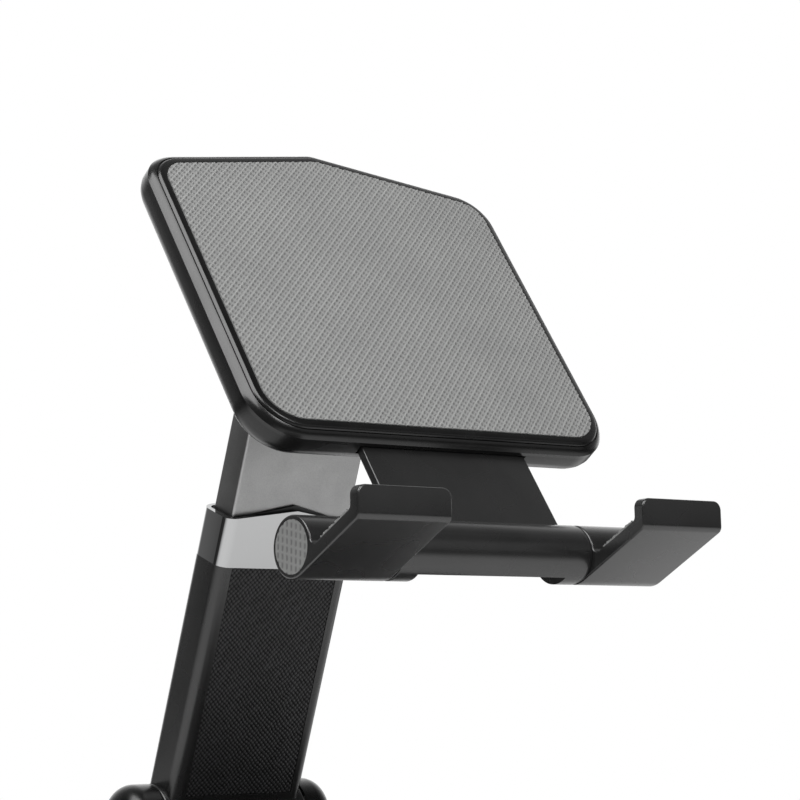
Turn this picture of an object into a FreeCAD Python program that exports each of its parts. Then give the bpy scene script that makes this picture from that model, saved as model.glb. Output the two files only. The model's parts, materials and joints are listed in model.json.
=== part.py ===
import FreeCAD, Part
import math
import os
from FreeCAD import Placement, Rotation, Vector

# Tablet stand, in millimetres. X runs to the right, Y to the rear and Z up.
# The origin is the centre of the foot pad's underside.
# Three frames are used. The base is drawn in the stand's own frame. The arm frame
# has its origin on the base hinge and its Z along the arm. The holder frame has its
# origin on the cross bar's axis, its Z up the holder's face and its Y to the rear.

# ---------------------------------------------------------------- driving dimensions
ARM_LEAN = 19.8          # degrees that the arm leans forwards of upright
RECLINE = 36.5           # degrees that the holder's face leans back from upright
ARM_LENGTH = 134.0       # base hinge to holder hinge

# clearances, each side
GAP = 0.05               # between pieces that move on each other
PRESS = 0.02             # pins, rings and discs in their seats
FIT = 0.1                # panels and plugs in their recesses
THREAD = 0.03            # round a screw's shank
OVERRUN = 1.0            # how far a cutter runs past the face that it opens

# screws
M3_R = 1.5
M3_HEAD_R = 2.9
M3_HEAD_H = 1.3
M25_R = 1.25
M25_HEAD_R = 2.3
M2_R = 1.0
M2_HEAD_R = 1.9
M2_PAN_R = 1.7
M2_PAN_H = 1.1

# base
BASE_W = 108.0
BASE_D = 126.0
BASE_CORNER_R = 16.0
BASE_EDGE_R = 2.6
BASE_TOP = 14.5
BASE_WALL = 2.2
BASE_ROOF = 2.5
FOOT_T = 1.2             # how far the foot pad stands below the housing
FOOT_INSET = 7.0
COVER_T = 2.0
COVER_SCREW_L = 9.0
BOSS_X = 44.0
BOSS_Y = 53.0
BOSS_R = 4.0
WEIGHT_W = 77.0
WEIGHT_Y0 = -56.0
WEIGHT_Y1 = 34.0
WEIGHT_R = 5.0
TOP_PANEL_W = 90.0
TOP_PANEL_Y0 = -54.0
TOP_PANEL_Y1 = 31.0
TOP_PANEL_R = 9.0
TOP_PANEL_T = 0.6

# base hinge
HINGE_Y = 46.0
HINGE_Z = 24.5
BARREL_R = 9.8
KNUCKLE_HALF = 21.4
KNUCKLE_EDGE_R = 0.6
WASHER_R = 8.9
WASHER_T = 0.5
EAR_X0 = 22.0
EAR_X1 = 31.4
EAR_DOME_R = 5.5
SHAFT_R = 4.0
SHAFT_END = 27.9
TONGUE_X0 = 22.6         # tongue of the ear, let down into the housing
TONGUE_X1 = 30.6
TONGUE_HALF_D = 8.0
TONGUE_Z = 5.2
EAR_SCREW_DY = 4.5
EAR_SCREW_L = 7.6
EAR_SCREW_TIP = 10.2
EAR_SCREW_RECESS_R = 3.1
EAR_SCREW_RECESS_H = 1.5

# outer tube of the arm
TUBE_W = 40.6
TUBE_T = 13.0
TUBE_R = 3.0
TUBE_WALL = 1.2
TUBE_Z0 = 4.0            # lower end, before the hinge barrel is cleared
PLUG_TOP = 20.0
PLUG_R = 1.7
COLLAR_Z0 = 70.8
COLLAR_Z1 = 83.2         # top edge at the collar's corners
CHEVRON = 3.0            # extra height at the middle of the front and rear
CHEVRON_R = 1.5
LINER_Z0 = 72.0
LINER_PROUD = 1.1
LINER_SUNK = 0.5
STRIP_W = 32.4           # textured strip let into the tube's front
STRIP_T = 0.45
STRIP_Z0 = 9.6
KNUCKLE_SCREW_X = 10.0
KNUCKLE_SCREW_Z = 15.5
KNUCKLE_SCREW_TIP = 0.5

# inner tube of the arm
INNER_W = 36.1
INNER_T = 8.9
INNER_R = 0.7
INNER_WALL = 1.3
INNER_PLUG_R = 0.3
INNER_Z0 = 55.0
INNER_TOP = 122.5
SLIDER_Z0 = 51.0
SLIDER_H = 8.0
POCKET_HALF = 9.0        # pocket in the slider's rear for the friction spring
POCKET_DEPTH = 1.2
POCKET_MARGIN = 0.6
LEAF_HALF = 8.5          # friction spring
LEAF_T = 0.3
LEAF_BOW = 0.85
LEAF_SET_BACK = 0.12
HEAD_CAP_T = 1.5
HEAD_PLUG = 14.0
HEAD_NECK_HALF_T = 3.9
HEAD_BARREL_R = 6.0
HEAD_HALF = 10.8
HEAD_SCREW_X = 9.0
HEAD_SCREW_Z = 114.0
HEAD_SCREW_TIP = 0.2

# holder; depths (N) are measured forwards from the cross bar's axis
HOLDER_HALF_W = 53.2
HOLDER_BOTTOM = 27.1
HOLDER_PEAK = 124.7
ROOF_SLOPE = 0.177
CORNER_BOTTOM_R = 13.0
CORNER_TOP_R = 11.0
PEAK_R = 5.0
N_SPLIT = 4.0            # where bezel and rear shell meet
N_EDGE = 4.9             # outer edge of the front bevel
N_BEAD = 6.5
N_RIM = 7.1
N_PAD = 7.5
N_PLATE = 4.6            # rear of the bezel's front plate
N_BACK = -5.5
N_WALL = 1.3             # where the rear shell's side starts to curve in
BEVEL = 1.6
GROOVE = 0.35
RIM_INSET = 2.6
PAD_INSET = 4.2
PAD_T = 1.0
SHELL_WALL = 2.0
BACK_INSET = 8.5         # how far the rear shell has curved in at the back
BACK_STEPS = 8
BEVEL_STEPS = 4
BEVEL_BULGE = 0.15       # crown of a bevel over its chord, as a share of its width
HOLDER_SCREW_X = 36.0
HOLDER_SCREW_Z = (42.0, 98.0)
HOLDER_SCREW_TIP = 0.6
HOLDER_BOSS_R = 3.2
BOSS_SPLIT_Y = 1.0       # where the bezel's bosses meet those of the rear shell

# holder hinge
PIVOT_Y = 15.0
PIVOT_Z = 85.4
BRACKET_W = 34.0
BRACKET_Z0 = 72.0
BRACKET_Z1 = 99.0
BRACKET_T = 2.2
BRACKET_CORNER_R = 3.0
BRACKET_SCREW_X = 13.4
BRACKET_SCREW_Z = (75.2, 95.8)
BRACKET_SCREW_TIP = 2.0  # depth behind the bar's axis that the screws reach
BRACKET_BOSS_R = 2.4
HEAD_EAR_X0 = 11.4
HEAD_EAR_X1 = 15.4
HEAD_WASHER_R = 5.4
PIN_R = 2.5
PIN_TAIL = 3.4           # thread that stands out of the right ear
PIN_HEAD_R = 4.4
PIN_HEAD_H = 2.4
PIN_HEAD_EDGE_R = 1.2
PIN_SOCKET_R = 1.6
PIN_SOCKET_DEPTH = 1.4
NUT_R = 4.4              # over the nut's corners
NUT_H = 2.8

# neck
NECK_HALF_W = 24.3
NECK_N0 = 1.5
NECK_N1 = 3.5
NECK_Z0 = 3.0
NECK_Z1 = 65.0
NECK_CORNER_R = 2.0
NECK_EDGE_R = 0.35
NECK_SLOT_SIDE = 0.5     # room beside the neck in the holder's foot
NECK_SLOT_FACE = 0.3     # room before and behind it
NECK_SLOT_H = 12.0
PEG_R = 0.8              # pins and pegs that hold the neck
PEG_BLIND = 0.5          # thickness of neck left in front of a peg's hole
NECK_PIN_X = 14.0
NECK_PIN_Z = 4.7
NECK_PIN_END = 5.0
STOP_HALF_W = 6.0
STOP_Z0 = 61.5
STOP_Y = 1.4
STOP_PEG_X = 4.0
RIB_Z0 = 46.0            # rib in the rear shell that the stop catches on
RIB_Z1 = 49.0
RIB_Y = -0.6
RIB_EXTRA_HALF_W = 2.0
RAIL_X0 = 21.8
RAIL_X1 = 28.5
RAIL_Y = 0.6
RAIL_Z0 = 33.0
RAIL_Z1 = 68.0
BOW_HALF = 14.0          # spring that presses on the neck
BOW_T = 0.4
BOW_Z0 = 38.2
BOW_H = 7.0
BOW_CROWN_GAP = 0.15

# cross bar and hooks
BAR_R = 7.0
BAR_HALF = 27.4
RING_SET_BACK = 0.25
BAR_EDGE_R = 0.3
FLAT_HALF = 21.8
FLAT_DEPTH = 5.05        # distance of the flat from the bar's axis
FLAT_ANGLE = 42.4        # the flat's normal, from straight down towards the rear
NECK_SEAT_Z = 9.0        # top of the slot in the bar that takes the neck
HOOK_X0 = 28.0
HOOK_X1 = 53.2
HOOK_T = 3.4
HOOK_DROP = 7.5          # degrees that the hook's arm falls away from the face's normal
HOOK_REACH = 24.0
LIP_FLARE = 34.0         # degrees that the lip flares out from the face's plane
LIP_H = 7.0
LIP_T = 3.2
LIP_CORNER_R = 2.2
BEND_OUTER_R = 1.8
BEND_INNER_R = 1.2
NOTCH_R = 1.6
HOOK_EDGE_R = 0.45
DISC_R = 6.0
DISC_T = 0.8
DISC_FIT = 0.04
GRIP_T = 0.7
GRIP_START = 9.6
GRIP_END = 20.6
GRIP_SIDE = 0.6
HOOK_SHAFT_R = 2.0
HOOK_SHAFT_END = 49.0
SET_SCREW_X = 40.0
SET_SCREW_R = 1.4
SET_SCREW_END = 6.4
SET_SOCKET_R = 0.7
SET_SOCKET_Y = 5.0

# ---------------------------------------------------------------- frames
X_AXIS = Vector(1, 0, 0)
SIDES = (-1, 1)
REARWARDS = (0, 1, 0)
DOWNWARDS = (0, 0, -1)
STAND_FRAME = Placement()
ARM_FRAME = Placement(Vector(0, HINGE_Y, HINGE_Z), Rotation(X_AXIS, ARM_LEAN))
HOLDER_HINGE = ARM_FRAME.multVec(Vector(0, 0, ARM_LENGTH))
HOLDER_TURN = Rotation(X_AXIS, -RECLINE)
BAR_CENTRE = HOLDER_HINGE - HOLDER_TURN.multVec(Vector(0, PIVOT_Y, PIVOT_Z))
HOLDER_FRAME = Placement(BAR_CENTRE, HOLDER_TURN)

os.makedirs("parts", exist_ok=True)


def save(name, shape, frame):
    """Write one sub-part, carried from its drawing frame into the stand's frame."""
    placed = shape.copy()
    placed.Placement = frame.multiply(placed.Placement)
    placed.exportStep(os.path.join("parts", name + ".step"))


# ---------------------------------------------------------------- shape helpers
def box(x0, x1, y0, y1, z0, z1):
    return Part.makeBox(x1 - x0, y1 - y0, z1 - z0, Vector(x0, y0, z0))


def rod(radius, start, end):
    """A cylinder from one point to another."""
    start = Vector(*start)
    along = Vector(*end) - start
    return Part.makeCylinder(radius, along.Length, start, along)


def x_rod(radius, x0, x1, y=0.0, z=0.0):
    """A cylinder that runs across the stand."""
    return rod(radius, (x0, y, z), (x1, y, z))


def mirrored(shape):
    """The same shape on the other side of the stand."""
    return shape.mirror(Vector(0, 0, 0), X_AXIS)


def group(shapes):
    return Part.makeCompound(shapes)


def rounded_corner(points, radii, i):
    """Where the rounding of one corner starts, its middle and where it ends."""
    corner = Vector(*points[i], 0)
    radius = radii[i]
    if radius <= 0:
        return corner, None, corner
    to_last = (Vector(*points[i - 1], 0) - corner).normalize()
    to_next = (Vector(*points[(i + 1) % len(points)], 0) - corner).normalize()
    half = to_last.getAngle(to_next) / 2
    reach = radius / math.tan(half)
    bisector = (to_last + to_next).normalize()
    middle = corner + bisector * (radius / math.sin(half) - radius)
    return corner + to_last * reach, middle, corner + to_next * reach


def outline(points, radii, lift):
    """A closed wire through corner points, each rounded by its own radius.

    lift turns a flat pair of numbers into a point in space."""
    count = len(points)
    corners = [rounded_corner(points, radii, i) for i in range(count)]
    edges = []
    for i in range(count):
        start, middle, end = corners[i]
        if middle is not None:
            edges.append(Part.Arc(lift(start), lift(middle), lift(end)).toShape())
        next_start = corners[(i + 1) % count][0]
        if (next_start - end).Length > 1e-6:
            edges.append(Part.makeLine(lift(end), lift(next_start)))
    return Part.Wire(edges)


def rectangle_corners(x0, x1, y0, y1):
    return [(x0, y0), (x1, y0), (x1, y1), (x0, y1)]


def plate(width, depth, radius, z0, z1, y=0.0):
    """A flat block with rounded upright corners, centred on the stand's middle plane."""
    corners = rectangle_corners(-width / 2, width / 2, y - depth / 2, y + depth / 2)
    wire = outline(corners, [radius] * 4, lambda p: Vector(p.x, p.y, z0))
    return Part.Face(wire).extrude(Vector(0, 0, z1 - z0))


def edges_on_plane(shape, axis, value):
    """The edges that lie wholly on one plane, such as z = 5."""
    found = []
    for edge in shape.Edges:
        bounds = edge.BoundBox
        low = getattr(bounds, axis + "Min")
        high = getattr(bounds, axis + "Max")
        if abs(low - value) < 1e-3 and abs(high - value) < 1e-3:
            found.append(edge)
    return found


# ---------------------------------------------------------------- screws
def pan_screw(shank_r, length, head_r, head_h, tip, direction):
    """A pan-head screw with a round socket; direction points from tip to head."""
    along = Vector(*direction).normalize()
    tip = Vector(*tip)
    seat = tip + along * length
    edge_r = head_h * 0.45
    socket_r = shank_r * 0.75
    socket_floor = head_h * 0.4
    shank = Part.makeCylinder(shank_r, length, tip, along)
    head = Part.makeCylinder(head_r, head_h, seat, along)
    head = head.makeFillet(edge_r, [head.Edges[0]])
    socket = Part.makeCylinder(socket_r, head_h, seat + along * socket_floor, along)
    return shank.fuse(head).cut(socket).removeSplitter()


def flat_screw(shank_r, length, head_r, tip, direction):
    """A countersunk screw whose head ends flush; length is the whole screw."""
    along = Vector(*direction).normalize()
    tip = Vector(*tip)
    head_h = head_r - shank_r
    socket_r = shank_r * 0.6
    socket_depth = head_h * 0.7
    shank = Part.makeCylinder(shank_r, length, tip, along)
    head = Part.makeCone(shank_r, head_r, head_h, tip + along * (length - head_h), along)
    socket = Part.makeCylinder(socket_r, head_h, tip + along * (length - socket_depth), along)
    return shank.fuse(head).cut(socket).removeSplitter()


def flat_screw_hole(shank_r, length, head_r, tip, direction):
    """The room that a countersunk screw needs, with its head's recess left open."""
    along = Vector(*direction).normalize()
    tip = Vector(*tip)
    tip_room = 0.2
    mouth_h = 0.5
    hole_r = shank_r + THREAD
    head_h = head_r - shank_r + THREAD
    shank = Part.makeCylinder(hole_r, length + tip_room, tip - along * tip_room, along)
    head = Part.makeCone(hole_r, head_r + 2 * THREAD, head_h, tip + along * (length - head_h), along)
    mouth = Part.makeCylinder(head_r + 2 * THREAD, mouth_h, tip + along * length, along)
    return shank.fuse(head).fuse(mouth)


# ---------------------------------------------------------------- base
def base_block(inset, z0, z1):
    """A slab with the base's outline, drawn in by an inset."""
    return plate(BASE_W - 2 * inset, BASE_D - 2 * inset, BASE_CORNER_R - inset, z0, z1)


def boss_places():
    return [(sx * BOSS_X, sy * BOSS_Y) for sx in SIDES for sy in SIDES]


def cover_screw_args(x, y):
    return M3_R, COVER_SCREW_L, M3_HEAD_R, (x, y, FOOT_T + COVER_SCREW_L), DOWNWARDS


def top_panel_block(margin, z0, z1):
    width = TOP_PANEL_W + 2 * margin
    depth = TOP_PANEL_Y1 - TOP_PANEL_Y0 + 2 * margin
    middle = (TOP_PANEL_Y1 + TOP_PANEL_Y0) / 2
    return plate(width, depth, TOP_PANEL_R + margin, z0, z1, middle)


def base_housing():
    roof_z = BASE_TOP - BASE_ROOF
    body = base_block(0, FOOT_T, BASE_TOP)
    body = body.makeFillet(BASE_EDGE_R, edges_on_plane(body, "Z", BASE_TOP))
    body = body.cut(base_block(BASE_WALL, FOOT_T - OVERRUN, roof_z))
    for x, y in boss_places():
        boss = rod(BOSS_R, (x, y, FOOT_T + COVER_T + GAP), (x, y, roof_z + 0.5))
        hole = rod(M3_R + THREAD, (x, y, FOOT_T), (x, y, roof_z - 1.0))
        body = body.fuse(boss).cut(hole)
    body = body.cut(top_panel_block(FIT, BASE_TOP - TOP_PANEL_T, BASE_TOP + OVERRUN))
    y0 = HINGE_Y - TONGUE_HALF_D - FIT
    y1 = HINGE_Y + TONGUE_HALF_D + FIT
    mouth = box(TONGUE_X0 - FIT, TONGUE_X1 + FIT, y0, y1, FOOT_T + COVER_T, BASE_TOP + OVERRUN)
    return body.cut(mouth).cut(mirrored(mouth)).removeSplitter()


def base_cover():
    body = base_block(BASE_WALL + FIT, FOOT_T, FOOT_T + COVER_T)
    for x, y in boss_places():
        body = body.cut(flat_screw_hole(*cover_screw_args(x, y)))
    for x, y in ear_screw_places():
        recess_top = FOOT_T + EAR_SCREW_RECESS_H
        head = rod(EAR_SCREW_RECESS_R, (x, y, FOOT_T - OVERRUN), (x, y, recess_top))
        shank = rod(M3_R + FIT, (x, y, FOOT_T), (x, y, FOOT_T + COVER_T + OVERRUN))
        body = body.cut(head).cut(shank)
    return body


def base_cover_screws():
    return group([flat_screw(*cover_screw_args(x, y)) for x, y in boss_places()])


def base_foot_pad():
    return base_block(FOOT_INSET, 0, FOOT_T)


def base_weight():
    """The iron ballast between the cover and the housing's roof."""
    z0 = FOOT_T + COVER_T + FIT
    z1 = BASE_TOP - BASE_ROOF - 2 * FIT
    depth = WEIGHT_Y1 - WEIGHT_Y0
    middle = (WEIGHT_Y1 + WEIGHT_Y0) / 2
    return plate(WEIGHT_W, depth, WEIGHT_R, z0, z1, middle)


def base_top_panel():
    return top_panel_block(0, BASE_TOP - TOP_PANEL_T, BASE_TOP)


# ---------------------------------------------------------------- base hinge
def ear_screw_places():
    x = (TONGUE_X0 + TONGUE_X1) / 2
    return [(sx * x, HINGE_Y + sy * EAR_SCREW_DY) for sx in SIDES for sy in SIDES]


def right_hinge_ear():
    """A domed cheek of the hinge, on a foot that stands on the housing."""
    cheek = x_rod(BARREL_R, EAR_X0, EAR_X1, HINGE_Y, HINGE_Z)
    foot = box(EAR_X0, EAR_X1, HINGE_Y - BARREL_R, HINGE_Y + BARREL_R, BASE_TOP, HINGE_Z)
    body = cheek.fuse(foot).removeSplitter()
    outer = edges_on_plane(body, "X", EAR_X1)
    body = body.makeFillet(EAR_DOME_R, [edge for edge in outer if edge.BoundBox.ZMax > BASE_TOP + GAP])
    y0 = HINGE_Y - TONGUE_HALF_D
    y1 = HINGE_Y + TONGUE_HALF_D
    body = body.fuse(box(TONGUE_X0, TONGUE_X1, y0, y1, TONGUE_Z, BASE_TOP))
    body = body.cut(x_rod(SHAFT_R + PRESS, EAR_X0 - OVERRUN, SHAFT_END + FIT, HINGE_Y, HINGE_Z))
    for x, y in ear_screw_places():
        if x > 0:
            body = body.cut(rod(M3_R + THREAD, (x, y, TONGUE_Z - OVERRUN), (x, y, EAR_SCREW_TIP + FIT)))
    return body.removeSplitter()


def hinge_ear_screws():
    screws = []
    for x, y in ear_screw_places():
        tip = (x, y, EAR_SCREW_TIP)
        screws.append(pan_screw(M3_R, EAR_SCREW_L, M3_HEAD_R, M3_HEAD_H, tip, DOWNWARDS))
    return group(screws)


def base_hinge_shaft():
    return x_rod(SHAFT_R, -SHAFT_END, SHAFT_END, HINGE_Y, HINGE_Z)


def base_hinge_washers():
    x0 = KNUCKLE_HALF + GAP
    x1 = x0 + WASHER_T
    ring = x_rod(WASHER_R, x0, x1, HINGE_Y, HINGE_Z)
    ring = ring.cut(x_rod(SHAFT_R + PRESS, x0 - OVERRUN, x1 + OVERRUN, HINGE_Y, HINGE_Z))
    return group([ring, mirrored(ring)])


# ---------------------------------------------------------------- lower arm
def knuckle_screw_args(side):
    tip = (side * KNUCKLE_SCREW_X, KNUCKLE_SCREW_TIP, KNUCKLE_SCREW_Z)
    return M25_R, TUBE_T / 2 - KNUCKLE_SCREW_TIP, M25_HEAD_R, tip, REARWARDS


def tube_plug(z0, z1, clearance):
    """A block that fills the outer tube's bore."""
    width = TUBE_W - 2 * TUBE_WALL - clearance
    depth = TUBE_T - 2 * TUBE_WALL - clearance
    return plate(width, depth, PLUG_R, z0, z1)


def tube_bore(z0, z1):
    inner_r = TUBE_R - TUBE_WALL
    return plate(TUBE_W - 2 * TUBE_WALL, TUBE_T - 2 * TUBE_WALL, inner_r, z0, z1)


def lower_knuckle():
    barrel = x_rod(BARREL_R, -KNUCKLE_HALF, KNUCKLE_HALF)
    rims = edges_on_plane(barrel, "X", KNUCKLE_HALF) + edges_on_plane(barrel, "X", -KNUCKLE_HALF)
    barrel = barrel.makeFillet(KNUCKLE_EDGE_R, rims)
    body = barrel.fuse(tube_plug(0, PLUG_TOP, FIT))
    body = body.cut(x_rod(SHAFT_R + GAP, -KNUCKLE_HALF - OVERRUN, KNUCKLE_HALF + OVERRUN))
    for side in SIDES:
        x = side * KNUCKLE_SCREW_X
        start = (x, KNUCKLE_SCREW_TIP - FIT, KNUCKLE_SCREW_Z)
        body = body.cut(rod(M25_R + THREAD, start, (x, TUBE_T, KNUCKLE_SCREW_Z)))
    return body.removeSplitter()


def knuckle_screws():
    return group([flat_screw(*knuckle_screw_args(side)) for side in SIDES])


def outer_tube():
    body = plate(TUBE_W, TUBE_T, TUBE_R, TUBE_Z0, COLLAR_Z0)
    body = body.cut(tube_bore(TUBE_Z0 - OVERRUN, COLLAR_Z0 + OVERRUN))
    body = body.cut(x_rod(BARREL_R + GAP, -TUBE_W, TUBE_W))
    front = -TUBE_T / 2
    half = STRIP_W / 2 + FIT
    recess_top = COLLAR_Z0 + OVERRUN
    body = body.cut(box(-half, half, front - OVERRUN, front + STRIP_T, STRIP_Z0 - FIT, recess_top))
    for side in SIDES:
        body = body.cut(flat_screw_hole(*knuckle_screw_args(side)))
    return body.removeSplitter()


def arm_texture_strip():
    front = -TUBE_T / 2
    half = STRIP_W / 2
    return box(-half, half, front, front + STRIP_T, STRIP_Z0, COLLAR_Z0)


def chevron_prism(z0, z1, rise):
    """A block whose top edge peaks in the middle, running front to rear."""
    half = TUBE_W / 2
    corners = [(-half, z0), (half, z0), (half, z1), (0, z1 + rise), (-half, z1)]
    wire = outline(corners, [0, 0, 0, CHEVRON_R, 0], lambda p: Vector(p.x, -TUBE_T, p.y))
    return Part.Face(wire).extrude(Vector(0, 2 * TUBE_T, 0))


def collar():
    top = COLLAR_Z1 + CHEVRON + OVERRUN
    body = plate(TUBE_W, TUBE_T, TUBE_R, COLLAR_Z0, top)
    body = body.cut(tube_bore(COLLAR_Z0 - OVERRUN, top + OVERRUN))
    return body.common(chevron_prism(COLLAR_Z0 - OVERRUN, COLLAR_Z1, CHEVRON)).removeSplitter()


def collar_liner():
    """The plastic guide round the inner tube: proud of the collar in the middle, sunk at its sides."""
    rise = CHEVRON + LINER_PROUD + LINER_SUNK
    top = COLLAR_Z1 + rise + OVERRUN
    body = tube_plug(LINER_Z0, top, FIT)
    bore = plate(INNER_W + 4 * GAP, INNER_T + 4 * GAP, INNER_R, LINER_Z0 - OVERRUN, top + OVERRUN)
    peaked = chevron_prism(LINER_Z0 - OVERRUN, COLLAR_Z1 - LINER_SUNK, rise)
    return body.cut(bore).common(peaked).removeSplitter()


# ---------------------------------------------------------------- inner arm
def head_screw_args(side):
    tip = (side * HEAD_SCREW_X, HEAD_SCREW_TIP, HEAD_SCREW_Z)
    return M2_R, INNER_T / 2 - HEAD_SCREW_TIP, M2_HEAD_R, tip, REARWARDS


def inner_bore_block(z0, z1, clearance):
    """A block that fills the inner tube's bore."""
    width = INNER_W - 2 * INNER_WALL - clearance
    depth = INNER_T - 2 * INNER_WALL - clearance
    return plate(width, depth, INNER_PLUG_R, z0, z1)


def inner_tube():
    body = plate(INNER_W, INNER_T, INNER_R, INNER_Z0, INNER_TOP)
    body = body.cut(inner_bore_block(INNER_Z0 - OVERRUN, INNER_TOP + OVERRUN, 0))
    for side in SIDES:
        body = body.cut(flat_screw_hole(*head_screw_args(side)))
    return body


def slider_block():
    """The plastic foot of the inner tube, which slides in the outer tube."""
    foot_top = INNER_Z0 - GAP
    wall_y = TUBE_T / 2 - TUBE_WALL - 2 * GAP
    foot = tube_plug(SLIDER_Z0, foot_top, 4 * GAP)
    body = foot.fuse(inner_bore_block(SLIDER_Z0 + 1, INNER_Z0 + SLIDER_H, FIT))
    z0 = SLIDER_Z0 + POCKET_MARGIN
    z1 = INNER_Z0 - POCKET_MARGIN
    pocket = box(-POCKET_HALF, POCKET_HALF, wall_y - POCKET_DEPTH, wall_y + OVERRUN, z0, z1)
    return body.cut(pocket).removeSplitter()


def bowed_leaf(half, end_y, crown_y, thickness, z0, z1):
    """A strip bowed towards crown_y, of one thickness measured front to rear."""
    inner_end = end_y + thickness
    inner_crown = crown_y + thickness
    outer = Part.Arc(Vector(-half, end_y, z0), Vector(0, crown_y, z0), Vector(half, end_y, z0))
    inner = Part.Arc(Vector(half, inner_end, z0), Vector(0, inner_crown, z0), Vector(-half, inner_end, z0))
    right = Part.makeLine(Vector(half, end_y, z0), Vector(half, inner_end, z0))
    left = Part.makeLine(Vector(-half, inner_end, z0), Vector(-half, end_y, z0))
    face = Part.Face(Part.Wire([outer.toShape(), right, inner.toShape(), left]))
    return face.extrude(Vector(0, 0, z1 - z0))


def friction_spring():
    """A leaf in the slider's pocket, bowed towards the outer tube's rear wall."""
    crown_y = TUBE_T / 2 - TUBE_WALL - LEAF_SET_BACK
    margin = POCKET_MARGIN + 4 * GAP
    return bowed_leaf(
        LEAF_HALF, crown_y - LEAF_BOW, crown_y, -LEAF_T, SLIDER_Z0 + margin, INNER_Z0 - margin
    )


def head_knuckle():
    cap_z = INNER_TOP + GAP
    half_t = HEAD_NECK_HALF_T
    body = plate(INNER_W, INNER_T, INNER_R, cap_z, cap_z + HEAD_CAP_T)
    body = body.fuse(inner_bore_block(INNER_TOP - HEAD_PLUG, cap_z + 0.5, FIT))
    body = body.fuse(box(-HEAD_HALF, HEAD_HALF, -half_t, half_t, cap_z, ARM_LENGTH))
    body = body.fuse(x_rod(HEAD_BARREL_R - 0.3, -HEAD_HALF, HEAD_HALF, 0, ARM_LENGTH))
    body = body.cut(x_rod(PIN_R + GAP, -HEAD_HALF - OVERRUN, HEAD_HALF + OVERRUN, 0, ARM_LENGTH))
    for side in SIDES:
        x = side * HEAD_SCREW_X
        body = body.cut(rod(M2_R + THREAD, (x, 0, HEAD_SCREW_Z), (x, INNER_T, HEAD_SCREW_Z)))
    return body.removeSplitter()


def head_knuckle_screws():
    return group([flat_screw(*head_screw_args(side)) for side in SIDES])


# ---------------------------------------------------------------- holder
def holder_wire(inset, n):
    """The holder's outline: straight sides, straight foot and a low peaked top."""
    half = HOLDER_HALF_W - inset
    foot = HOLDER_BOTTOM + inset
    peak = HOLDER_PEAK - inset * math.hypot(1, ROOF_SLOPE)
    shoulder = peak - ROOF_SLOPE * half
    corners = [(-half, foot), (half, foot), (half, shoulder), (0, peak), (-half, shoulder)]
    low_r = CORNER_BOTTOM_R - inset
    top_r = CORNER_TOP_R - inset
    return outline(corners, [low_r, low_r, top_r, PEAK_R, top_r], lambda p: Vector(p.x, -n, p.y))


def holder_slab(inset, n0, n1):
    return Part.Face(holder_wire(inset, n0)).extrude(Vector(0, n0 - n1, 0))


def holder_loft(sections):
    return Part.makeLoft([holder_wire(inset, n) for inset, n in sections], True, True)


def holder_screw_places():
    return [(side * HOLDER_SCREW_X, z) for side in SIDES for z in HOLDER_SCREW_Z]


def bracket_screw_places():
    return [(side * BRACKET_SCREW_X, z) for side in SIDES for z in BRACKET_SCREW_Z]


def neck_slot():
    """The opening in the holder's foot that the neck slides in."""
    half = NECK_HALF_W + NECK_SLOT_SIDE
    y0 = -NECK_N1 - NECK_SLOT_FACE
    y1 = -NECK_N0 + NECK_SLOT_FACE
    return box(-half, half, y0, y1, HOLDER_BOTTOM - OVERRUN, HOLDER_BOTTOM + NECK_SLOT_H)


def rounded_bevel(inset0, n0, inset1, n1):
    """Profile points of a slightly crowned bevel."""
    width = inset1 - inset0
    points = []
    for i in range(BEVEL_STEPS + 1):
        share = i / BEVEL_STEPS
        crown = 4 * BEVEL_BULGE * width * share * (1 - share)
        points.append((inset0 + width * share, n0 + (n1 - n0) * share + crown))
    return points


def bezel_bevels():
    """The outer bevel, a fine groove and the inner bevel that rises to the flat rim."""
    groove_floor = N_BEAD - GROOVE
    groove_inset = BEVEL + GROOVE
    outer = holder_loft(rounded_bevel(0, N_EDGE, BEVEL, N_BEAD))
    inner_profile = rounded_bevel(groove_inset, N_BEAD, RIM_INSET, N_RIM)
    inner = holder_loft([(groove_inset, groove_floor)] + inner_profile)
    land = holder_slab(groove_inset, groove_floor - FIT, N_BEAD)
    groove = holder_slab(BEVEL, groove_floor, N_BEAD).cut(land)
    return outer.fuse(inner).cut(groove)


def holder_bezel():
    """The front frame and plate, with the pad's recess and the screw bosses."""
    body = holder_slab(0, N_SPLIT, N_EDGE).fuse(bezel_bevels())
    body = body.cut(holder_slab(PAD_INSET - FIT, N_PAD - PAD_T, N_PAD + OVERRUN))
    body = body.cut(holder_slab(SHELL_WALL, N_SPLIT - OVERRUN, N_PLATE))
    for x, z in holder_screw_places():
        boss = rod(HOLDER_BOSS_R, (x, -N_PLATE - 0.3, z), (x, BOSS_SPLIT_Y, z))
        hole_y = HOLDER_SCREW_TIP - N_PLATE - 2 * FIT
        hole = rod(M25_R + THREAD, (x, hole_y, z), (x, BOSS_SPLIT_Y + OVERRUN, z))
        body = body.fuse(boss).cut(hole)
    return body.cut(neck_slot()).removeSplitter()


def holder_screw_args(x, z):
    tip_y = HOLDER_SCREW_TIP - N_PLATE
    return M25_R, -N_BACK - tip_y, M25_HEAD_R, (x, tip_y, z), REARWARDS


def holder_screws():
    return group([flat_screw(*holder_screw_args(x, z)) for x, z in holder_screw_places()])


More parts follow.
